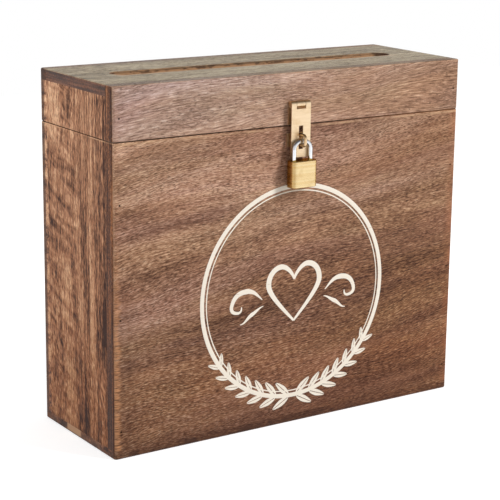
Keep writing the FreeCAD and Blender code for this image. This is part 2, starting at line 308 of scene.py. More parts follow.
BODY_TONES = WoodTones(tone(78, 48, 34), tone(158, 122, 100), tone(216, 184, 160), tone(66, 40, 29))
LID_TONES = WoodTones(tone(98, 72, 60), tone(173, 143, 127), tone(223, 199, 186), tone(82, 57, 46))
SIDE_TONES = WoodTones(tone(58, 30, 18), tone(180, 127, 94), tone(234, 190, 152), tone(66, 36, 24))
TOP_TONES = WoodTones(tone(80, 67, 50), tone(147, 131, 105), tone(194, 178, 150), tone(75, 61, 46))
END_TONES = WoodTones(tone(40, 18, 8), tone(85, 46, 24), tone(158, 104, 66), tone(44, 23, 14))
CAP_TONES = WoodTones(tone(44, 22, 12), tone(78, 42, 24), tone(116, 72, 47), tone(44, 23, 14))
RAW_TONE = tone(182, 138, 100)
SLOT_PAINTED_SHADOW = tone(104, 78, 56)
WORN_TONE = tone(194, 138, 96)
RUBBED_TONE = tone(192, 152, 122)
GAP_DIRT_AND_SHADE_TONE = tone(60, 35, 22)
PALE_GAP_DIRT_AND_SHADE_TONE = tone(120, 74, 44)
REDDENED_TONE = tone(164, 100, 66)
RIM_RUB_AND_HIGHLIGHT_TONE = tone(206, 166, 130)
CHIP_TONE = tone(178, 138, 104)
DARK_AND_SHADE_TONE = tone(58, 34, 24)


@dataclass(frozen=True)
class StainAndShadeFade:
    """How the colour darkens over a board towards the foot and the right end, as colours that multiply the wood's own:
    partly a deeper stain and partly painted shade.

    The low colour is reached at the foot of the box and the right colour at its right end, where the
    right_low colour takes its place below the middle.
    """

    low: Colour
    right: Colour
    top_z: float = 240 * MM
    half_width: float = 150 * MM
    uptake: float = 2.2
    right_low: Optional[Colour] = None

    def apply(self, sheet: NodeSheet, colour: Any, dashes: Any) -> bpy.types.NodeSocket:
        """Lays the darkening, deeper stain and painted shade, over a colour.

        Args:
            sheet: The material that is being made.
            colour: The wood's colour.
            dashes: Fine grain noise, where the darkening takes more or less.

        Returns:
            The darker colour.
        """
        x, _, z = sheet.split(sheet.point)
        patches = sheet.noise(sheet.point, (5, 5, 9), detail=2.0)
        drift = sheet.calc("MULTIPLY", sheet.calc("SUBTRACT", patches, 0.5), 0.5)
        uptake = sheet.calc("MULTIPLY", sheet.calc("SUBTRACT", 0.5, dashes), self.uptake)
        down = sheet.between(z, 0.0, self.top_z, 1.0, 0.0)
        down = sheet.calc("ADD", down, sheet.calc("MULTIPLY", uptake, down))
        down = sheet.calc("ADD", down, drift, clamp=True)
        across = sheet.calc("ADD", sheet.between(x, -self.half_width, self.half_width), drift, clamp=True)
        right: Any = self.right
        if self.right_low is not None:
            right = sheet.blend(sheet.between(z, 140 * MM, 200 * MM), self.right_low, self.right)
        # Painted shade and deeper stain: darker towards the foot and the right end.
        colour = sheet.blend(down, colour, self.low, "MULTIPLY")
        return sheet.blend(across, colour, right, "MULTIPLY")


@dataclass(frozen=True)
class SideFigure:
    """Curly figure at the back of a side board, a dark streak, and straight lines near its front."""

    curl: float = 1.25
    curl_slant: float = 0.35
    lines: float = 1.75
    broad: float = 1.7
    streak: float = 0.28
    streak_y: float = -4 * MM
    streak_drift: float = 0.09
    streak_half: float = 7 * MM
    seam_z: float = 224 * MM

    def apply(self, sheet: NodeSheet, value: Any) -> bpy.types.NodeSocket:
        """Adds the figure to the wood's light and dark.

        Args:
            sheet: The material that is being made.
            value: Light and dark of the plain grain.

        Returns:
            Light and dark with the figure.
        """
        _, y, z = sheet.split(sheet.point)
        behind = sheet.between(y, -14 * MM, 10 * MM)
        before = sheet.calc("SUBTRACT", 1.0, behind)
        slanted = sheet.calc("SUBTRACT", z, sheet.calc("MULTIPLY", y, self.curl_slant))
        slanted = sheet.join(sheet.split(sheet.point)[0], y, slanted)
        curls = sheet.noise(slanted, (30, 26, 110), detail=3.0, roughness=0.6, distortion=0.6)
        curls = sheet.calc("MULTIPLY", sheet.calc("SUBTRACT", curls, 0.5), self.curl)
        value = sheet.calc("ADD", value, sheet.calc("MULTIPLY", curls, behind))
        lines = sheet.noise(sheet.point, (40, 330, 5), detail=3.0, roughness=0.6)
        lines = sheet.calc("MULTIPLY", sheet.calc("SUBTRACT", lines, 0.54), self.lines)
        lines = sheet.calc("MULTIPLY", lines, sheet.between(z, 20 * MM, 90 * MM, 0.6, 1.0))
        value = sheet.calc("ADD", value, sheet.calc("MULTIPLY", lines, before))
        broad = sheet.noise(slanted, (10, 75, 9), detail=2.0, roughness=0.6, distortion=0.4)
        broad = sheet.calc("MULTIPLY", sheet.calc("SUBTRACT", broad, 0.5), self.broad)
        broad = sheet.calc("MULTIPLY", broad, sheet.between(z, 60 * MM, 170 * MM, 1.0, 0.3))
        value = sheet.calc("ADD", value, broad)
        sway = sheet.noise(sheet.point, (10, 10, 16), detail=3.0)
        sway = sheet.calc("MULTIPLY", sheet.calc("SUBTRACT", sway, 0.5), 16 * MM)
        fall = sheet.calc("MULTIPLY", sheet.calc("SUBTRACT", z, self.seam_z), self.streak_drift)
        centre = sheet.calc("ADD", sheet.calc("ADD", fall, sway), self.streak_y)
        away = sheet.calc("ABSOLUTE", sheet.calc("SUBTRACT", y, centre))
        streak = sheet.between(away, 0.8 * MM, self.streak_half, self.streak, 0.0)
        streak = sheet.calc("MULTIPLY", streak, sheet.between(z, 150 * MM, 205 * MM, 1.0, 0.2))
        streak = sheet.calc("MULTIPLY", streak, sheet.between(z, 30 * MM, 95 * MM, 0.15, 1.0))
        return sheet.calc("SUBTRACT", value, streak)


@dataclass(frozen=True)
class DarkBand:
    """A soft dark band that crosses the front at a slant."""

    shade: Colour = (0.66, 0.61, 0.67)
    centre_x: float = -97 * MM
    centre_z: float = 162 * MM
    slope: float = 0.12
    half_width: float = 55 * MM
    half_height: float = 10 * MM

    def apply(self, sheet: NodeSheet, colour: Any) -> bpy.types.NodeSocket:
        """Lays the band over a colour.

        Args:
            sheet: The material that is being made.
            colour: The wood's colour.

        Returns:
            The colour with the band.
        """
        x, _, z = sheet.split(sheet.point)
        along = sheet.calc("SUBTRACT", x, self.centre_x)
        sway = sheet.noise(sheet.point, (14, 14, 40), detail=3.0, roughness=0.6)
        sway = sheet.calc("MULTIPLY", sheet.calc("SUBTRACT", sway, 0.5), 14 * MM)
        middle = sheet.calc("ADD", sheet.calc("MULTIPLY", along, self.slope), sway)
        away = sheet.calc("ABSOLUTE", sheet.calc("SUBTRACT", sheet.calc("SUBTRACT", z, self.centre_z), middle))
        share = sheet.between(away, 0.5 * MM, self.half_height, 0.85, 0.0)
        ends = sheet.between(sheet.calc("ABSOLUTE", along), 0.35 * self.half_width, self.half_width, 1.0, 0.0)
        return sheet.blend(sheet.calc("MULTIPLY", share, ends), colour, self.shade, "MULTIPLY")


@dataclass(frozen=True)
class StainedWood:
    """Walnut stain with grain, pores, end grain, rubbed edges and a dark seam, with painted shade and a painted
    highlight laid over it in places.

    The grain runs along the first axis of a board's own grain space.
    """

    name: str
    grain: Grain
    tones: WoodTones
    shift: tuple[float, float, float]
    tilt_deg: float = 0.0
    contrast: float = 1.0
    pore_share: float = 0.7
    gloss: float = 0.2
    rubbed: float = 0.35
    # Darkening towards the foot and the right end: partly stain, partly painted shade.
    stain_and_shade: Optional[StainAndShadeFade] = None
    figure: Optional[SideFigure] = None
    bands: tuple[DarkBand, ...] = ()
    weights: tuple[float, float, float, float] = (0.90, 0.52, 1.15, 0.95)
    dash: tuple[float, float, float] = (230, 1150, 1150)
    cool: Colour = (0.985, 0.965, 1.05)
    warm: Colour = (1.02, 1.0, 0.90)
    pale: Colour = (0.98, 1.01, 1.01)
    red: Colour = (1.03, 0.965, 0.94)
    end_tones: WoodTones = END_TONES
    end_waves: tuple[float, float, float] = (300, 620, 14)
    end_cap_z: Optional[float] = None
    dark_back_y: Optional[float] = None
    seam_z: Optional[float] = None
    worn_left_x: Optional[float] = None
    worn_right_x: Optional[float] = None
    slot_half: Optional[tuple[float, float]] = None
    chip_y: Optional[tuple[float, float]] = None
    # Painted shade that is multiplied onto the upward faces of boards with the grain across.
    upper_painted_shade: Colour = (0.55, 0.58, 0.52)

    def grain_space(self, sheet: NodeSheet) -> bpy.types.NodeSocket:
        """Object coordinates turned so that the grain runs along the first axis.

        Args:
            sheet: The material that is being made.

        Returns:
            Socket of (along the grain, across the board, through the board).
        """
        x, y, z = sheet.split(sheet.point)
        along, across, through = {
            Grain.ACROSS: (x, z, y),
            Grain.UPRIGHT: (z, y, x),
            Grain.FLAT: (x, y, z),
        }[self.grain]
        node = sheet.nodes.new("ShaderNodeMapping")
        node.inputs["Location"].default_value = self.shift
        node.inputs["Rotation"].default_value = (0.0, 0.0, math.radians(-self.tilt_deg))
        sheet.feed(node.inputs["Vector"], sheet.join(along, across, through))
        sway = sheet.noise(node.outputs[0], (6, 14, 14), detail=1.0)
        lift = sheet.calc("MULTIPLY", sheet.calc("SUBTRACT", sway, 0.5), 0.03)
        return sheet.vector("ADD", node.outputs[0], sheet.join(0.0, lift, 0.0))

    def material(self) -> bpy.types.Material:
        """Makes the finish.

        Returns:
            The material.
        """
        sheet = NodeSheet(self.name)
        place = self.grain_space(sheet)
        layers = (
            sheet.noise(place, (3.4, 27, 22), detail=2.0, roughness=0.5, distortion=0.5),
            sheet.noise(place, (12, 150, 130), detail=3.0, roughness=0.6),
            sheet.noise(place, self.dash, detail=2.0, roughness=0.6),
            sheet.noise(place, (75, 1000, 1000), detail=2.0, roughness=0.6),
        )
        value = sheet.calc("ADD", 0.5, 0.0)
        for noise, weight in zip(layers, self.weights):
            part = sheet.calc("MULTIPLY", sheet.calc("SUBTRACT", noise, 0.5), weight * self.contrast)
            value = sheet.calc("ADD", value, part)
        if self.figure:
            value = self.figure.apply(sheet, value)
        tones = self.tones
        colour = sheet.ramp(value, [(0.10, tones.dark), (0.50, tones.middle), (0.90, tones.light)])
        hue = sheet.noise(sheet.vector("ADD", place, (0.37, 0.21, 0.11)), (4, 34, 30), detail=4.0, roughness=0.6)
        drift = sheet.blend(sheet.between(hue, 0.32, 0.68), self.cool, self.warm)
        colour = sheet.blend(1.0, colour, drift, "MULTIPLY")
        hue = sheet.noise(sheet.vector("ADD", place, (0.73, 0.55, 0.29)), (6, 24, 24), detail=4.0, roughness=0.6)
        drift = sheet.blend(sheet.between(hue, 0.34, 0.66), self.pale, self.red)
        colour = sheet.blend(1.0, colour, drift, "MULTIPLY")

        pores = sheet.noise(place, (300, 2300, 2300), detail=1.0)
        crowd = sheet.noise(place, (22, 80, 80), detail=2.0)
        pores = sheet.calc("ADD", pores, sheet.calc("MULTIPLY", crowd, 0.35))
        pores = sheet.between(pores, 0.70, 0.84)
        colour = sheet.blend(sheet.calc("MULTIPLY", pores, self.pore_share), colour, tones.pore)
        colour = self.end_grain(sheet, colour)
        # Darker towards the foot and the right end: partly stain, partly painted shade.
        if self.stain_and_shade:
            colour = self.stain_and_shade.apply(sheet, colour, layers[2])
        for band in self.bands:
            colour = band.apply(sheet, colour)
        colour = self.wear(sheet, colour)

        fibres = layers[-1]
        roughness = sheet.between(fibres, 0.3, 0.7, 0.42, 0.56)
        roughness = sheet.calc("ADD", roughness, sheet.calc("MULTIPLY", pores, 0.2))
        sheet.set(Base_Color=colour, Roughness=roughness, Specular_IOR_Level=self.gloss)
        sheet.relief(sheet.calc("SUBTRACT", sheet.calc("MULTIPLY", fibres, 0.5), pores), 0.3, 0.1 * MM)
        return sheet.material

    def end_grain(self, sheet: NodeSheet, colour: bpy.types.NodeSocket) -> bpy.types.NodeSocket:
        """Darker end grain on the faces that the grain runs into.

        Args:
            sheet: The material that is being made.
            colour: The long grain's colour.

        Returns:
            The colour with the end grain.
        """
        facing = sheet.split(sheet.normal)[2 if self.grain is Grain.UPRIGHT else 0]
        mask = sheet.between(sheet.calc("ABSOLUTE", facing), 0.70, 0.92)
        speckle = sheet.noise(sheet.point, (900, 900, 420), detail=3.0, roughness=0.7)
        rings = sheet.noise(sheet.point, self.end_waves, detail=3.0, roughness=0.6)
        mixed = sheet.calc("ADD", sheet.calc("MULTIPLY", speckle, 0.4), sheet.calc("MULTIPLY", rings, 0.6))
        tones = self.end_tones
        ends = sheet.ramp(mixed, [(0.41, tones.dark), (0.5, tones.middle), (0.59, tones.light)])
        if self.end_cap_z is not None:
            z = sheet.split(sheet.point)[2]
            cap = sheet.ramp(mixed, [(0.41, CAP_TONES.dark), (0.5, CAP_TONES.middle), (0.59, CAP_TONES.light)])
            ends = sheet.blend(sheet.between(z, self.end_cap_z - 0.3 * MM, self.end_cap_z + 0.3 * MM), ends, cap)
        return sheet.blend(mask, colour, ends)

    def wear(self, sheet: NodeSheet, colour: Any) -> bpy.types.NodeSocket:
        """Rubbed edges, the dark seam with dirt and painted shade, a rubbed and painted highlight on its rim, the worn
        corner, painted shade on upward faces, and the raw wood of the card slot with painted shade in it.

        Args:
            sheet: The material that is being made.
            colour: The stained colour.

        Returns:
            The colour with its wear and painted shade.
        """
        nx, ny, nz = (sheet.calc("ABSOLUTE", part) for part in sheet.split(sheet.normal))
        x, y, z = sheet.split(sheet.point)
        patches = sheet.noise(sheet.point, (60, 60, 60), detail=3.0, roughness=0.6)
        patches = sheet.between(patches, 0.38, 0.62, 0.2, 1.0)
        flat = sheet.calc("MAXIMUM", nx, sheet.calc("MAXIMUM", ny, nz))
        edge = sheet.calc("MULTIPLY", sheet.between(flat, 0.80, 0.985, self.rubbed, 0.0), patches)
        colour = sheet.blend(edge, colour, RUBBED_TONE)
        if self.dark_back_y is not None:
            corner = sheet.between(y, self.dark_back_y - 6.6 * MM, self.dark_back_y - 5.6 * MM, 0.0, 0.8)
            corner = sheet.calc("MULTIPLY", corner, sheet.between(nx, 0.15, 0.35))
            colour = sheet.blend(corner, colour, DARK_AND_SHADE_TONE)
        if self.worn_left_x is not None:
            ragged = sheet.noise(sheet.point, (60, 60, 260), detail=3.0, roughness=0.7)
            ragged = sheet.calc("ADD", x, sheet.calc("MULTIPLY", sheet.calc("SUBTRACT", ragged, 0.5), 9 * MM))
            strip = sheet.between(ragged, self.worn_left_x + 2.0 * MM, self.worn_left_x + 6.0 * MM, 1.0, 0.0)
            strip = sheet.calc("MULTIPLY", strip, sheet.between(ny, 0.4, 0.8))
            strip = sheet.calc("MULTIPLY", strip, sheet.between(z, 70 * MM, 180 * MM, 0.9, 0.12))
            beside = sheet.between(x, self.worn_left_x + 8 * MM, self.worn_left_x + 26 * MM, 0.24, 0.0)
            beside = sheet.calc("MULTIPLY", beside, sheet.between(z, 70 * MM, 150 * MM, 1.0, 0.0))
            colour = sheet.blend(beside, colour, DARK_AND_SHADE_TONE)
            ticks = sheet.noise(sheet.point, (80, 40, 900), detail=2.0, roughness=0.6)
            rubbed = sheet.calc("MULTIPLY", strip, sheet.between(ticks, 0.38, 0.60, 0.1, 0.85))
            scored = sheet.calc("MULTIPLY", strip, sheet.between(ticks, 0.34, 0.46, 0.5, 0.0))
            colour = sheet.blend(rubbed, colour, WORN_TONE)
            colour = sheet.blend(scored, colour, DARK_AND_SHADE_TONE)
        if self.worn_right_x is not None:
            strip = sheet.between(x, self.worn_right_x - 10 * MM, self.worn_right_x - 3 * MM, 0.0, 0.3)
            strip = sheet.calc("MULTIPLY", strip, sheet.between(ny, 0.4, 0.8))
            colour = sheet.blend(sheet.calc("MULTIPLY", strip, patches), colour, REDDENED_TONE)
        if self.seam_z is not None:
            below = sheet.calc("SUBTRACT", self.seam_z, z)
            below = sheet.calc("DIVIDE", below, sheet.between(nx, 0.5, 0.8, 1.0, 0.5))
            # Rubbed wear and a painted highlight on the rounded rim below the seam.
            rim = sheet.calc("MULTIPLY", sheet.between(below, 0.8 * MM, 1.1 * MM), sheet.between(below, 1.7 * MM, 2.8 * MM, 1.0, 0.0))
            colour = sheet.blend(sheet.calc("MULTIPLY", rim, sheet.calc("MULTIPLY", patches, 0.6)), colour, RIM_RUB_AND_HIGHLIGHT_TONE)
            # Dirt and painted shade in the seam between lid and box, paler towards the right.
            gap = sheet.between(sheet.calc("ABSOLUTE", below), 0.15 * MM, 0.65 * MM, 1.0, 0.0)
            gap_dirt_and_shade_tone = sheet.blend(sheet.between(x, 20 * MM, 110 * MM), GAP_DIRT_AND_SHADE_TONE, PALE_GAP_DIRT_AND_SHADE_TONE)
            colour = sheet.blend(gap, colour, gap_dirt_and_shade_tone)
        foot = sheet.between(z, 1.5 * MM, 9.0 * MM, 1.0, 0.0)
        foot = sheet.calc("MULTIPLY", foot, sheet.between(x, -70 * MM, 70 * MM, 0.95, 0.6))
        foot = sheet.calc("MULTIPLY", foot, sheet.calc("MAXIMUM", patches, 0.55))
        colour = sheet.blend(foot, colour, DARK_AND_SHADE_TONE)
        if self.chip_y is not None:
            first, last = self.chip_y
            chip = sheet.calc("MULTIPLY", sheet.between(y, first, first + 3 * MM), sheet.between(y, last - 3 * MM, last, 1.0, 0.0))
            chip = sheet.calc("MULTIPLY", chip, sheet.between(z, 0.8 * MM, 1.6 * MM, 0.0, 0.8))
            colour = sheet.blend(sheet.calc("MULTIPLY", chip, sheet.between(x, -0.1, -0.09, 1.0, 0.0)), colour, CHIP_TONE)
        # Painted shade: the upward faces of boards with the grain across are darkened.
        up = sheet.between(sheet.split(sheet.normal)[2], 0.6, 0.9)
        if self.grain is Grain.ACROSS:
            colour = sheet.blend(up, colour, self.upper_painted_shade, "MULTIPLY")
        if self.slot_half is not None:
            reach_x, reach_y = (half + 0.9 * MM for half in self.slot_half)
            inside = sheet.between(sheet.calc("ABSOLUTE", y), reach_y, reach_y + 0.3 * MM, 1.0, 0.0)
            within = sheet.between(sheet.calc("ABSOLUTE", x), reach_x, reach_x + 0.3 * MM, 1.0, 0.0)
            inside = sheet.calc("MULTIPLY", sheet.calc("MULTIPLY", inside, within), sheet.between(nz, 0.55, 0.9, 1.0, 0.0))
            streaks = sheet.noise(sheet.point, (40, 600, 900), detail=2.0)
            top_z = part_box("lid_top_board")[1].z
            # Painted shadow under the slot's top rim, laid on its walls.
            shade = sheet.between(z, top_z - 2.2 * MM, top_z - 1.0 * MM)
            shade = sheet.calc("MULTIPLY", shade, sheet.between(streaks, 0.35, 0.6, 1.0, 0.5))
            wall = sheet.blend(shade, RAW_TONE, SLOT_PAINTED_SHADOW)
            knots = sheet.noise(sheet.point, (110, 160, 420), detail=3.0, roughness=0.7)
            upper = sheet.between(z, top_z - 3.6 * MM, top_z - 1.6 * MM, 0.15, 0.85)
            knots = sheet.calc("MULTIPLY", sheet.between(knots, 0.46, 0.60), upper)
            # Painted shade in both deep ends of the slot; from here knots holds the wall's dark spots and this painted
            # shade.
            tips = sheet.between(x, self.slot_half[0] - 8 * MM, self.slot_half[0] - 4 * MM, 0.0, 0.85)
            knots = sheet.calc("MAXIMUM", knots, tips)
            tips = sheet.between(x, -self.slot_half[0], 10 * MM - self.slot_half[0], 0.7, 0.0)
            knots = sheet.calc("MAXIMUM", knots, tips)
            wall = sheet.blend(knots, wall, DARK_AND_SHADE_TONE)
            near = sheet.between(y, -reach_y - 3.5 * MM, -reach_y - 0.5 * MM)
            near = sheet.calc("MULTIPLY", near, sheet.between(y, -reach_y, 1 * MM - reach_y, 1.0, 0.0))
            near = sheet.calc("MULTIPLY", sheet.calc("MULTIPLY", near, within), sheet.calc("MULTIPLY", patches, 0.8))
            colour = sheet.blend(near, colour, CHIP_TONE)
            colour = sheet.blend(sheet.calc("MULTIPLY", inside, 0.9), colour, wall)
        return colour


@dataclass(frozen=True)
class BrassFinish:
    """Brass with fine brushed lines and faint tarnish, with painted shade on its rounded edges and, where asked, on
    its sides.
    """

    name: str
    colour: Colour
    tarnish_and_shade: Colour
    roughness: float
    brushed: tuple[float, float, float]
    relief: float
    line_share: float = 0.25
    edge_shade_share: float = 0.5
    side_shade_share: float = 0.0
    edge_tint: Colour = (0.75, 0.55, 0.25)

    def material(self) -> bpy.types.Material:
        """Makes the finish.

        Returns:
            The material.
        """
        sheet = NodeSheet(self.name)
        lines = sheet.noise(sheet.point, self.brushed, detail=3.0, roughness=0.6)
        clouds = sheet.noise(sheet.point, (120, 120, 120), detail=3.0, roughness=0.6)
        share = sheet.between(clouds, 0.45, 0.8, 0.0, 0.4)
        colour = sheet.blend(share, self.colour, self.tarnish_and_shade)
        colour = sheet.blend(sheet.between(lines, 0.35, 0.65, self.line_share, 0.0), colour, self.tarnish_and_shade)
        facing = [sheet.calc("ABSOLUTE", part) for part in sheet.split(sheet.normal)]
        flat = sheet.calc("MAXIMUM", facing[0], sheet.calc("MAXIMUM", facing[1], facing[2]))
        # Painted shade: the rounded edges are darkened towards the tarnish colour.
        colour = sheet.blend(sheet.between(flat, 0.80, 0.985, self.edge_shade_share, 0.0), colour, self.tarnish_and_shade)
        # Painted shade: the faces that look along x are darkened, as on the padlock case's sides.
        if self.side_shade_share:
            colour = sheet.blend(sheet.between(facing[0], 0.75, 0.95, 0.0, self.side_shade_share), colour, self.tarnish_and_shade)
        sheet.set(Base_Color=colour, Metallic=1.0, Specular_Tint=self.edge_tint)
        sheet.set(Roughness=sheet.between(lines, 0.2, 0.8, self.roughness - 0.06, self.roughness + 0.08))
        sheet.relief(lines, self.relief, 0.05 * MM)
        return sheet.material


@dataclass(frozen=True)
class PlatedSteel:
    """Plated or plain steel with a few fine scratches."""

    name: str
    colour: Colour
    roughness: float
    edge_tint: Colour = (1.0, 1.0, 1.0)

    def material(self) -> bpy.types.Material:
        """Makes the finish.

        Returns:
            The material.
        """
        sheet = NodeSheet(self.name)
        scratches = sheet.noise(sheet.point, (1800, 1800, 90), detail=2.0)
        smudges = sheet.noise(sheet.point, (140, 140, 140), detail=2.0)
        dulled = tuple(0.82 * part for part in self.colour)
        colour = sheet.blend(sheet.between(smudges, 0.4, 0.75), self.colour, dulled)
        sheet.set(Base_Color=colour, Metallic=1.0, Specular_Tint=self.edge_tint)
        sheet.set(Roughness=sheet.between(smudges, 0.3, 0.7, self.roughness, self.roughness * 1.7))
        sheet.relief(scratches, 0.08, 0.02 * MM)
        return sheet.material


@dataclass(frozen=True)
class PrintPaint:
    """Cream paint, thin enough for the wood's pores to show in places."""

    name: str
    colour: Colour
    thin: Colour

    def material(self) -> bpy.types.Material:
        """Makes the finish.

        Returns:
            The material.
        """
        sheet = NodeSheet(self.name)
        pores = sheet.noise(sheet.point, (150, 900, 1100), detail=2.0, roughness=0.6)
        clouds = sheet.noise(sheet.point, (60, 60, 90), detail=2.0)
        share = sheet.calc("MULTIPLY", sheet.between(pores, 0.60, 0.78), sheet.between(clouds, 0.35, 0.7, 0.1, 0.7))
        sheet.set(Base_Color=sheet.blend(share, self.colour, self.thin))
        sheet.set(Roughness=sheet.between(clouds, 0.3, 0.7, 0.5, 0.65))
        sheet.relief(pores, 0.2, 0.05 * MM)
        return sheet.material


def clear_selection() -> None:
    """Deselects every object."""
    bpy.ops.object.select_all(action="DESELECT")


def take_active(name: str) -> bpy.types.Object:
    """Names the object that an operator has just made.

    Args:
        name: The piece's name.

    Returns:
        The object.
    """
    piece = bpy.context.active_object
    piece.name = name
    piece.data.name = name
    return piece


def settle(piece: bpy.types.Object) -> None:
    """Moves an object's place, turn and scale into its mesh.

    Args:
        piece: The object.
    """
    clear_selection()
    piece.select_set(True)
    bpy.context.view_layer.objects.active = piece
    bpy.ops.object.transform_apply(location=True, rotation=True, scale=True)


def merge(pieces: Sequence[bpy.types.Object], name: str) -> bpy.types.Object:
    """Joins settled pieces into one.

    Args:
        pieces: The objects.
        name: Name of the joined piece.

    Returns:
        The joined object.
    """
    clear_selection()
    for piece in pieces:
        piece.select_set(True)
    bpy.context.view_layer.objects.active = pieces[0]
    bpy.ops.object.join()
    return take_active(name)


def mend_normals(piece: bpy.types.Object, angle_deg: float = 35.0) -> None:
    """Turns all faces outwards and smooths the soft edges.

    Args:
        piece: The object.
        angle_deg: Edges sharper than this stay sharp.
    """
    clear_selection()
    piece.select_set(True)
    bpy.context.view_layer.objects.active = piece
    bpy.ops.object.mode_set(mode="EDIT")
    bpy.ops.mesh.select_all(action="SELECT")
    bpy.ops.mesh.remove_doubles(threshold=1e-6)
    bpy.ops.mesh.normals_make_consistent(inside=False)
    bpy.ops.object.mode_set(mode="OBJECT")
    bpy.ops.object.shade_smooth_by_angle(angle=math.radians(angle_deg))


def finish_piece(piece: bpy.types.Object, body: str, material: bpy.types.Material) -> None:
    """Dresses a new piece and lets it ride on its body.

    Args:
        piece: The object.
        body: The CAD body that carries it.
        material: Its material.
    """
    piece.data.materials.clear()
    piece.data.materials.append(material)
    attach(piece, body)
    LOG.info("piece %s rides on %s", piece.name, body)


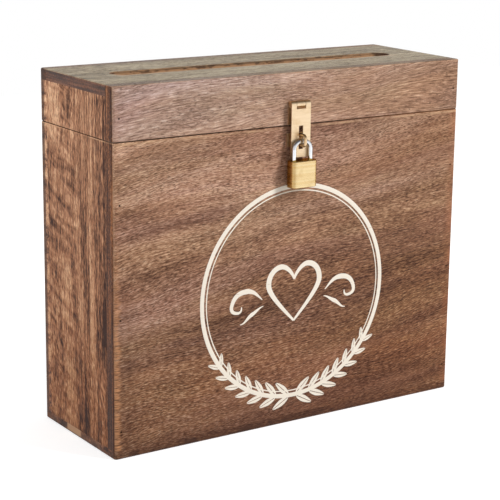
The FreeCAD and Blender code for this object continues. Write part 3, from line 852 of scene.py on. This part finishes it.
@dataclass
class FrontPrint:
    """Generic wedding print on the front: two plain rings, a laurel and a heart with scrolls."""

    paint: PrintPaint
    ring_x: float = 0.0
    ring_z: float = 100.4 * MM
    ring_radius: float = 79.3 * MM
    ring_line: float = 3.3 * MM
    inner_gap: float = 3.6 * MM
    inner_line: float = 0.9 * MM
    proud: float = 0.14 * MM
    sink: float = 0.05 * MM
    leaf_length: float = 15.0 * MM
    leaf_width: float = 5.2 * MM
    leaf_pairs: int = 7
    first_leaf_deg: float = 7.0
    leaf_step_deg: float = 8.2
    heart_width: float = 46.0 * MM
    stroke: float = 4.6 * MM

    def build(self) -> None:
        """Makes and dresses all the pieces of the print."""
        face_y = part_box("front_panel")[0].y
        material = self.paint.material()
        pieces = [
            self.ring("print_ring", self.ring_radius, self.ring_line, face_y),
            self.ring("print_inner_ring", self.ring_radius - self.inner_gap, self.inner_line, face_y),
            self.laurel(face_y),
            self.heart(face_y),
            self.scrolls(face_y),
        ]
        for piece in pieces:
            finish_piece(piece, "box", material)

    def flatten(self, piece: bpy.types.Object, face_y: float) -> None:
        """Presses a piece made at y 0 into a thin coat of paint on the front.

        Args:
            piece: The object, modelled about the plane y 0.
            face_y: Height of the front face along y.
        """
        depth = max(abs(v.co.y) for v in piece.data.vertices)
        coat = (self.proud + self.sink) / 2
        piece.scale = (1.0, coat / depth, 1.0)
        piece.location = (self.ring_x, face_y + self.sink - coat, self.ring_z)
        settle(piece)

    def ring(self, name: str, radius: float, line: float, face_y: float) -> bpy.types.Object:
        """One painted ring, domed like a coat of paint.

        Args:
            name: The piece's name.
            radius: Radius of the line's middle.
            line: Width of the line.
            face_y: Height of the front face along y.

        Returns:
            The ring.
        """
        clear_selection()
        bpy.ops.mesh.primitive_torus_add(
            major_segments=180,
            minor_segments=12,
            major_radius=radius,
            minor_radius=line / 2,
            rotation=(math.pi / 2, 0.0, 0.0),
        )
        piece = take_active(name)
        settle(piece)
        self.flatten(piece, face_y)
        mend_normals(piece)
        return piece

    def half_leaf(self, side: int) -> bpy.types.Object:
        """One half of a leaf that points along x, with its vein along the x axis.

        Args:
            side: 1 for the upper half and -1 for the lower half.

        Returns:
            The half leaf.
        """
        vein = 0.28 * MM
        clear_selection()
        bpy.ops.mesh.primitive_circle_add(
            vertices=28, radius=0.5, fill_type="NGON", rotation=(math.pi / 2, 0.0, 0.0)
        )
        piece = take_active("half_leaf")
        settle(piece)
        bpy.ops.object.mode_set(mode="EDIT")
        bpy.ops.mesh.select_all(action="SELECT")
        bpy.ops.mesh.bisect(
            plane_co=(0.0, 0.0, side * vein / self.leaf_width),
            plane_no=(0.0, 0.0, side),
            clear_inner=True,
        )
        bpy.ops.mesh.select_all(action="SELECT")
        bpy.ops.mesh.extrude_region_move(TRANSFORM_OT_translate={"value": (0.0, -self.proud, 0.0)})
        bpy.ops.mesh.select_all(action="SELECT")
        bpy.ops.transform.resize(value=(self.leaf_length, 1.0, self.leaf_width), center_override=(0, 0, 0))
        bpy.ops.object.mode_set(mode="OBJECT")
        for vertex in piece.data.vertices:
            share = vertex.co.x / self.leaf_length
            vertex.co.z *= 1.0 - 0.55 * max(0.0, share) - 0.15 * max(0.0, -share)
            vertex.co.x += 0.18 * self.leaf_length * max(0.0, share) ** 2
        return piece

    def laurel(self, face_y: float) -> bpy.types.Object:
        """Two sprays of leaves that grow from the bottom of the ring, the same at both sides.

        Args:
            face_y: Height of the front face along y.

        Returns:
            The laurel.
        """
        leaf = merge([self.half_leaf(1), self.half_leaf(-1)], "leaf")
        leaves = []
        for side in (-1, 1):
            for number in range(self.leaf_pairs):
                swing = math.radians(self.first_leaf_deg + self.leaf_step_deg * number)
                size = 1.0 - 0.055 * number
                along = -math.pi / 2 + side * swing
                for lean, reach in ((0.62, 5.4 * MM), (-0.62, -5.4 * MM)):
                    heading = along + side * (math.pi / 2 - lean)
                    radius = self.ring_radius + reach * size
                    centre = Vector((radius * math.cos(along), 0.0, radius * math.sin(along)))
                    turn = Matrix.Rotation(-heading, 4, "Y")
                    copy = leaf.copy()
                    copy.data = leaf.data.copy()
                    bpy.context.collection.objects.link(copy)
                    copy.matrix_world = Matrix.Translation(centre) @ turn @ Matrix.Diagonal((size, 1.0, size, 1.0))
                    settle(copy)
                    leaves.append(copy)
        bpy.data.objects.remove(leaf)
        laurel = merge(leaves, "print_laurel")
        self.flatten(laurel, face_y)
        mend_normals(laurel, 20.0)
        return laurel

    def stroke_mesh(
        self, name: str, knots: Sequence[tuple[float, float, float, float, float]], closed: bool, face_y: float
    ) -> bpy.types.Object:
        """A brush stroke along a smooth curve.

        Args:
            name: The piece's name.
            knots: Points of the curve as x, z, heading in degrees, handle length and share of the full stroke,
                with lengths in millimetres from the ring's centre.
            closed: Whether the stroke ends where it starts.
            face_y: Height of the front face along y.

        Returns:
            The stroke.
        """
        clear_selection()
        bpy.ops.curve.primitive_bezier_curve_add()
        piece = bpy.context.active_object
        curve = piece.data
        curve.dimensions = "3D"
        curve.bevel_depth = self.stroke / 2
        curve.bevel_resolution = 3
        curve.resolution_u = 20
        curve.use_fill_caps = True
        spline = curve.splines[0]
        spline.use_cyclic_u = closed
        spline.bezier_points.add(len(knots) - 2)
        for point, (x, z, heading, handle, share) in zip(spline.bezier_points, knots):
            turn = math.radians(heading)
            ahead = Vector((math.cos(turn), 0.0, math.sin(turn))) * handle * MM
            point.handle_left_type = point.handle_right_type = "FREE"
            point.co = (x * MM, 0.0, z * MM)
            point.handle_left = point.co - ahead
            point.handle_right = point.co + ahead
            point.radius = share
        bpy.ops.object.convert(target="MESH")
        piece = take_active(name)
        self.flatten(piece, face_y)
        mend_normals(piece)
        return piece

    def heart(self, face_y: float) -> bpy.types.Object:
        """Heart outline in the middle of the ring, from two mirrored strokes.

        Args:
            face_y: Height of the front face along y.

        Returns:
            The heart.
        """
        half = self.heart_width / MM / 2
        right = [
            (0.0, -0.95 * half, 52.0, 4.0, 0.35),
            (0.98 * half, 0.32 * half, 88.0, 8.0, 1.0),
            (0.5 * half, 0.88 * half, 180.0, 5.5, 0.9),
            (0.0, 0.42 * half, 262.0, 3.0, 0.4),
        ]
        left = [(-x, z, 180.0 - heading, handle, share) for x, z, heading, handle, share in right]
        halves = [
            self.stroke_mesh("heart_right", right, False, face_y),
            self.stroke_mesh("heart_left", left, False, face_y),
        ]
        return merge(halves, "print_heart")

    def scrolls(self, face_y: float) -> bpy.types.Object:
        """Tapered scrolls at both sides of the heart.

        Args:
            face_y: Height of the front face along y.

        Returns:
            The scrolls.
        """
        half = self.heart_width / MM / 2
        long_stroke = [
            (half + 5.0, -2.0, 40.0, 5.0, 0.15),
            (half + 19.0, 6.0, 0.0, 7.0, 0.9),
            (half + 31.0, -2.0, -70.0, 5.0, 0.7),
            (half + 27.0, -9.0, 190.0, 3.5, 0.5),
            (half + 23.0, -5.0, 80.0, 2.2, 0.2),
        ]
        short_stroke = [
            (half + 4.0, -7.0, -10.0, 4.0, 0.12),
            (half + 14.0, -12.0, -25.0, 4.5, 0.7),
            (half + 24.0, -18.0, 5.0, 4.0, 0.12),
        ]
        strokes = []
        for side in (1, -1):
            for number, knots in enumerate((long_stroke, short_stroke)):
                turned = [
                    (side * x, z, heading if side > 0 else 180.0 - heading, handle, share)
                    for x, z, heading, handle, share in knots
                ]
                strokes.append(self.stroke_mesh(f"scroll_{side}_{number}", turned, False, face_y))
        return merge(strokes, "print_scrolls")


@dataclass
class WoodenBox:
    """The stained boards of the box and the lid."""

    slot_half: tuple[float, float] = (121.5 * MM, 9.0 * MM)
    chip_y: tuple[float, float] = (-4 * MM, 20 * MM)

    def dress(self, nodes: dict[str, bpy.types.Object]) -> None:
        """Gives every board its own cut of the stained wood.

        Args:
            nodes: The CAD nodes by name.
        """
        left_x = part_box("front_panel")[0].x
        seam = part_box("lid_front_board")[0].z
        across, upright, flat = Grain.ACROSS, Grain.UPRIGHT, Grain.FLAT
        # These fades darken the boards towards the foot and the right end: partly stain, partly painted shade.
        front_fade = StainAndShadeFade((0.565, 0.43, 0.325), (0.665, 0.59, 0.50), right_low=(0.90, 0.825, 0.715))
        lid_fade = StainAndShadeFade((0.85, 0.80, 0.75), (0.90, 0.83, 0.72))
        side_fade = StainAndShadeFade((0.52, 0.39, 0.29), (1.0, 1.0, 1.0))
        left_figure = SideFigure(seam_z=seam)
        right_figure = SideFigure(curl=1.2, lines=1.0, broad=0.9, streak_y=8 * MM, streak_drift=-0.05, seam_z=seam)
        even: Colour = (1.0, 1.0, 1.0)
        streaky = {"weights": (0.85, 0.80, 1.15, 1.25), "dash": (160, 800, 800), "cool": even, "warm": even, "pale": even, "red": even}
        low_band = DarkBand((0.66, 0.61, 0.62), -60 * MM, 10 * MM, 0.02, 300 * MM, 25 * MM)
        even = {"weights": (0.62, 0.38, 1.12, 1.0), "dash": (150, 1150, 1150)}
        side_ends = {"end_tones": SIDE_TONES, "end_waves": (60, 60, 120)}
        back_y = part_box("back_panel")[1].y
        cap_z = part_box("lid_top_board")[0].z
        back_ends = {**side_ends, "dark_back_y": back_y}
        left_side = {"figure": left_figure, "gloss": 0.1, **streaky}
        right_side = {"figure": right_figure, **streaky}
        boards = (
            (
                "front_panel", across, BODY_TONES, (0.31, 0.12, 0.4), 7.0,
                {"stain_and_shade": front_fade, "bands": (DarkBand(), low_band), "worn_left_x": left_x, "worn_right_x": -left_x},
            ),
            ("back_panel", across, BODY_TONES, (2.7, 1.9, 0.8), -3.0, {"stain_and_shade": front_fade, **back_ends}),
            ("lid_front_board", across, LID_TONES, (1.45, 0.66, 0.1), 4.0, {"stain_and_shade": lid_fade, "worn_left_x": left_x, **even}),
            ("lid_back_board", across, LID_TONES, (4.1, 3.3, 0.7), 2.0, {"stain_and_shade": lid_fade, **back_ends, "end_cap_z": cap_z}),
            ("left_panel", upright, SIDE_TONES, (0.2, 0.9, 0.35), 2.0, {"stain_and_shade": side_fade, **left_side}),
            ("right_panel", upright, SIDE_TONES, (5.3, 2.2, 1.4), -2.0, {"stain_and_shade": side_fade, **right_side}),
            ("lid_left_board", upright, SIDE_TONES, (0.2, 0.9, 0.35), 2.0, left_side),
            ("lid_right_board", upright, SIDE_TONES, (5.3, 2.2, 1.4), -2.0, right_side),
            (
                "lid_top_board", flat, TOP_TONES, (0.7, 0.5, 0.9), 1.0,
                {"gloss": 0.4, "slot_half": self.slot_half, **streaky, "end_tones": CAP_TONES, "end_waves": (300, 20, 520)},
            ),
            (
                "base_panel", across, BODY_TONES, (3.3, 0.2, 0.6), 0.0,
                {"stain_and_shade": front_fade, "bands": (low_band,), "chip_y": self.chip_y, **side_ends},
            ),
        )
        for name, grain, tones, shift, tilt, extras in boards:
            wood = StainedWood(f"{name}_wood", grain, tones, shift, tilt, seam_z=seam, **extras)
            nodes[name].data.materials.clear()
            nodes[name].data.materials.append(wood.material())
            LOG.info("board %s dressed", name)


@dataclass
class Fasteners:
    """Countersunk cross-head screws of the hinges, the hasp plate and the staple plate."""

    head_radius: float = 2.1 * MM
    head_height: float = 1.1 * MM
    shank_radius: float = 1.1 * MM
    length: float = 8.5 * MM
    point_share: float = 0.25
    cross_reach: float = 1.3 * MM
    cross_width: float = 0.55 * MM
    cross_depth: float = 0.6 * MM
    hinge_spacing: float = 18.0 * MM
    twist_deg: float = 37.0

    def build(self, hinge_brass: bpy.types.Material, hasp_brass: bpy.types.Material) -> None:
        """Makes the screws and puts them where the CAD screws are.

        Args:
            hinge_brass: Material of the hinge screws.
            hasp_brass: Material of the hasp and staple screws.
        """
        pattern = self.screw()
        rows = (
            ("box_hinge", "box", "hinge_brass", hinge_brass, True),
            ("lid_hinge", "lid", "hinge_brass", hinge_brass, True),
            ("hasp", "lid", "hasp_brass", hasp_brass, False),
            ("staple", "box", "hasp_brass", hasp_brass, False),
        )
        for name, body, slot, material, behind in rows:
            low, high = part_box(f"{name}_screws")
            places = [low.x + self.head_radius, high.x - self.head_radius]
            if behind:
                places += [places[0] + self.hinge_spacing, places[1] - self.hinge_spacing]
            screws = []
            for number, x in enumerate(places):
                screw = pattern.copy()
                screw.data = pattern.data.copy()
                bpy.context.collection.objects.link(screw)
                screw.location = (x, high.y if behind else low.y, (low.z + high.z) / 2)
                twist = Matrix.Rotation(math.radians(self.twist_deg * number), 4, "Y")
                facing = Matrix.Rotation(math.pi if behind else 0.0, 4, "Z")
                screw.rotation_euler = (facing @ twist).to_euler()
                settle(screw)
                screws.append(screw)
            row = merge(screws, f"{name}_cross_screws")
            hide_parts(f"{name}_screws")
            finish_piece(row, body, material)
        bpy.data.objects.remove(pattern)

    def screw(self) -> bpy.types.Object:
        """One screw with its head at the origin, facing -Y.

        Returns:
            The screw.
        """
        clear_selection()
        bpy.ops.mesh.primitive_circle_add(
            vertices=32, radius=self.head_radius, fill_type="NGON", rotation=(math.pi / 2, 0.0, 0.0)
        )
        piece = take_active("screw_pattern")
        settle(piece)
        bpy.ops.object.mode_set(mode="EDIT")
        bpy.ops.mesh.select_all(action="SELECT")
        neck = self.shank_radius / self.head_radius
        straight = self.length * (1.0 - self.point_share) - self.head_height
        for step, narrowing in ((self.head_height, neck), (straight, 1.0), (self.length * self.point_share, 0.1)):
            bpy.ops.mesh.extrude_region_move(TRANSFORM_OT_translate={"value": (0.0, step, 0.0)})
            bpy.ops.transform.resize(value=(narrowing, 1.0, narrowing), center_override=(0.0, 0.0, 0.0))
        bpy.ops.object.mode_set(mode="OBJECT")
        mend_normals(piece)
        self.cut_cross(piece)
        return piece

    def cut_cross(self, piece: bpy.types.Object) -> None:
        """Cuts the cross recess into a screw's head.

        Args:
            piece: The screw.
        """
        for size in (
            (2 * self.cross_reach, 2 * self.cross_depth, self.cross_width),
            (self.cross_width, 2 * self.cross_depth, 2 * self.cross_reach),
        ):
            clear_selection()
            bpy.ops.mesh.primitive_cube_add(size=1.0)
            cutter = take_active("cross_cutter")
            cutter.scale = size
            settle(cutter)
            recess = piece.modifiers.new("cross_recess", "BOOLEAN")
            recess.operation = "DIFFERENCE"
            recess.object = cutter
            clear_selection()
            piece.select_set(True)
            bpy.context.view_layer.objects.active = piece
            bpy.ops.object.modifier_apply(modifier=recess.name)
            bpy.data.objects.remove(cutter)
        bpy.ops.object.shade_smooth_by_angle(angle=math.radians(30.0))


@dataclass
class Hardware:
    """Hinges, hasp, padlock and fasteners."""

    def dress(self, nodes: dict[str, bpy.types.Object]) -> None:
        """Gives every metal piece its finish and makes the screws.

        Args:
            nodes: The CAD nodes by name.
        """
        hasp = BrassFinish("hasp_brass", tone(231, 207, 174), tone(188, 150, 98), 0.36, (60, 60, 700), 0.06).material()
        hinge = BrassFinish("hinge_brass", tone(226, 192, 128), tone(176, 136, 76), 0.30, (60, 60, 900), 0.06).material()
        case = BrassFinish(
            "padlock_brass",
            tone(219, 196, 150),
            tone(160, 114, 44),
            0.26,
            (6, 6, 760),
            0.10,
            line_share=0.30,
            # Painted shade on the padlock case's sides.
            side_shade_share=0.78,
        ).material()
        chrome = PlatedSteel("shackle_chrome", (0.70, 0.71, 0.73), 0.07, (0.5, 0.5, 0.5)).material()
        steel = PlatedSteel("plain_steel", (0.12, 0.10, 0.09), 0.4).material()
        finishes = {
            hasp: ("hasp_plate", "hasp_pin", "hasp_strap", "hasp_screws", "staple_plate", "staple_loop", "staple_screws"),
            hinge: (
                "left_hinge_box_leaf", "left_hinge_lid_leaf", "left_hinge_pin",
                "right_hinge_box_leaf", "right_hinge_lid_leaf", "right_hinge_pin",
                "box_hinge_screws", "lid_hinge_screws",
            ),
            case: ("padlock_case", "padlock_pins", "key_plug"),
            chrome: ("padlock_shackle",),
            steel: ("box_brads", "lid_brads", "locking_bolt", "bolt_spring"),
        }
        for material, names in finishes.items():
            for name in names:
                nodes[name].data.materials.clear()
                nodes[name].data.materials.append(material)
        LOG.info("metal pieces dressed")
        Fasteners().build(hinge, hasp)


@dataclass
class Studio:
    """White backdrop, soft lights and the camera at the photograph's angle."""

    azimuth_deg: float = -34.23
    elevation_deg: float = 13.65
    roll_deg: float = 0.82
    distance: float = 1224.86 * MM
    target_x: float = 7.06 * MM
    target_z: float = 128.85 * MM
    focal_px: float = 1619.53
    centre_px: tuple[float, float] = (262.0, 238.0)
    floor_side: float = 3.0
    floor_z: float = -0.3 * MM
    floor_glow: float = 0.62
    floor_tone: float = 0.62
    ambient: float = 0.42
    ceiling: float = 0.15

    def build(self) -> None:
        """Makes the floor, the world, the lights and the camera."""
        bpy.context.scene.view_settings.view_transform = "Standard"
        self.floor()
        self.world()
        self.area("key_light", (1.75, -2.2, 1.85), 0.8, 90.0)
        self.area("fill_light", (-2.0, 0.3, 0.9), 1.5, 22.0)
        self.area("top_light", (-0.2, 0.3, 1.9), 1.6, 5.0)
        self.camera()

    def floor(self) -> None:
        """Pale floor that looks white to the camera and keeps the soft shadow."""
        clear_selection()
        bpy.ops.mesh.primitive_plane_add(size=self.floor_side, location=(0.0, 0.0, self.floor_z))
        floor = take_active("studio_floor")
        sheet = NodeSheet("floor_paper")
        fibre = sheet.noise(sheet.point, (40, 40, 40), detail=2.0)
        pale = (self.floor_tone,) * 3
        paler = (self.floor_tone + 0.01,) * 3
        sheet.set(Base_Color=sheet.blend(fibre, pale, paler), Roughness=0.9, Specular_IOR_Level=0.0)
        sheet.set(Emission_Color=(1.0, 1.0, 1.0))
        path = sheet.nodes.new("ShaderNodeLightPath")
        seen = sheet.calc("MAXIMUM", path.outputs["Is Camera Ray"], path.outputs["Is Glossy Ray"])
        sheet.set(Emission_Strength=sheet.calc("MULTIPLY", seen, self.floor_glow))
        floor.data.materials.append(sheet.material)

    def world(self) -> None:
        """White surroundings for the camera, darker overhead for reflections, and plain soft light."""
        world = bpy.data.worlds.new("studio_white")
        bpy.context.scene.world = world
        world.use_nodes = True
        nodes, links = world.node_tree.nodes, world.node_tree.links
        nodes.clear()
        path = nodes.new("ShaderNodeLightPath")
        seen = nodes.new("ShaderNodeMath")
        seen.operation = "MAXIMUM"
        links.new(path.outputs["Is Camera Ray"], seen.inputs[0])
        links.new(path.outputs["Is Glossy Ray"], seen.inputs[1])
        through = nodes.new("ShaderNodeMath")
        through.operation = "MAXIMUM"
        links.new(seen.outputs[0], through.inputs[0])
        links.new(path.outputs["Is Transmission Ray"], through.inputs[1])
        soft = nodes.new("ShaderNodeBackground")
        soft.inputs["Strength"].default_value = self.ambient
        white = nodes.new("ShaderNodeBackground")
        white.inputs["Color"].default_value = (1.0, 1.0, 1.0, 1.0)
        soft.inputs["Color"].default_value = (1.0, 1.0, 1.0, 1.0)
        direction = nodes.new("ShaderNodeTexCoord")
        height = nodes.new("ShaderNodeSeparateXYZ")
        links.new(direction.outputs["Generated"], height.inputs[0])
        ceiling = nodes.new("ShaderNodeMapRange")
        ceiling.interpolation_type = "SMOOTHSTEP"
        links.new(height.outputs["Z"], ceiling.inputs["Value"])
        limits = {"From Min": 0.25, "From Max": 0.75, "To Min": 1.0, "To Max": self.ceiling}
        for name, number in limits.items():
            ceiling.inputs[name].default_value = number
        level = nodes.new("ShaderNodeMath")
        level.operation = "MAXIMUM"
        links.new(ceiling.outputs["Result"], level.inputs[0])
        links.new(path.outputs["Is Camera Ray"], level.inputs[1])
        links.new(level.outputs[0], white.inputs["Strength"])
        mix = nodes.new("ShaderNodeMixShader")
        links.new(through.outputs[0], mix.inputs[0])
        links.new(soft.outputs[0], mix.inputs[1])
        links.new(white.outputs[0], mix.inputs[2])
        output = nodes.new("ShaderNodeOutputWorld")
        links.new(mix.outputs[0], output.inputs["Surface"])

    def area(self, name: str, place: tuple[float, float, float], side: float, power: float) -> None:
        """One square soft light that points at the box.

        Args:
            name: The light's name.
            place: Where it stands.
            side: Length of its side.
            power: Its power in watts.
        """
        clear_selection()
        bpy.ops.object.light_add(type="AREA", location=place)
        light = bpy.context.active_object
        light.name = name
        light.data.shape = "SQUARE"
        light.data.size = side
        light.data.energy = power
        light.visible_glossy = False
        aim = Vector((0.0, 0.0, self.target_z)) - Vector(place)
        light.rotation_euler = aim.to_track_quat("-Z", "Y").to_euler()

    def camera(self) -> None:
        """Camera that sees the box as the photograph does."""
        azimuth, elevation, roll = (
            math.radians(angle) for angle in (self.azimuth_deg, self.elevation_deg, self.roll_deg)
        )
        back = Vector((
            math.sin(azimuth) * math.cos(elevation),
            -math.cos(azimuth) * math.cos(elevation),
            math.sin(elevation),
        ))
        level = (-back).cross(Vector((0.0, 0.0, 1.0))).normalized()
        upright = level.cross(-back)
        right = level * math.cos(roll) + upright * math.sin(roll)
        up = upright * math.cos(roll) - level * math.sin(roll)
        place = Vector((self.target_x, 0.0, self.target_z)) + back * self.distance
        clear_selection()
        bpy.ops.object.camera_add(location=place)
        camera = bpy.context.active_object
        camera.name = "photo_camera"
        camera.rotation_euler = Matrix((right, up, back)).transposed().to_euler()
        lens = camera.data
        lens.sensor_width = 36.0
        lens.lens = self.focal_px / IMAGE_SIDE * lens.sensor_width
        lens.shift_x = (IMAGE_SIDE / 2 - self.centre_px[0]) / IMAGE_SIDE
        lens.shift_y = (self.centre_px[1] - IMAGE_SIDE / 2) / IMAGE_SIDE
        lens.clip_start = 0.01
        lens.clip_end = 100.0
        bpy.context.scene.camera = camera


def main() -> None:
    """Loads the frame and builds the looks around it."""
    logging.basicConfig(level=logging.INFO, format="%(name)s: %(message)s")
    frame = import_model()
    WoodenBox().dress(frame["nodes"])
    Hardware().dress(frame["nodes"])
    FrontPrint(PrintPaint("print_cream", tone(234, 224, 209), tone(178, 150, 128))).build()
    Studio().build()


if __name__ == "__main__":
    main()
